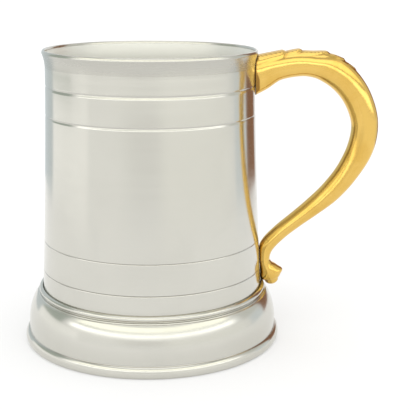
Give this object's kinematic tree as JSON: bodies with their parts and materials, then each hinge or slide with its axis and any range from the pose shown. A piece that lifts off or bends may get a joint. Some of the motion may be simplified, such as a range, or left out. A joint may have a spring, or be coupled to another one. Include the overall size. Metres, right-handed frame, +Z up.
{
  "type": "tankard",
  "caption": "Footed one-pint drinking tankard: tapered pewter barrel with a flared lip, hollow moulded foot and a scrolled cast brass handle; stands on its foot rim.",
  "frame": {"origin": "on the table, in the middle of the outline of foot and handle together; the axis of the barrel is 20.3 mm from it along -X", "axes": "+Z up along the barrel, +X towards the handle, +Y across the handle"},
  "size_m": [0.1481, 0.1076, 0.1209],
  "materials": {
    "pewter": "polished pewter with fine turning lines",
    "brass": "polished yellow brass, cast",
    "solder": "dull soft solder"
  },
  "bodies": {
    "root": {"barrel": "pewter", "floor_disc": "pewter", "foot": "pewter", "seam_bead": "pewter", "handle": "brass", "upper_handle_solder": "solder", "lower_handle_solder": "solder", "floor_seam_solder": "solder", "foot_seam_solder": "solder"}
  },
  "joints": []
}
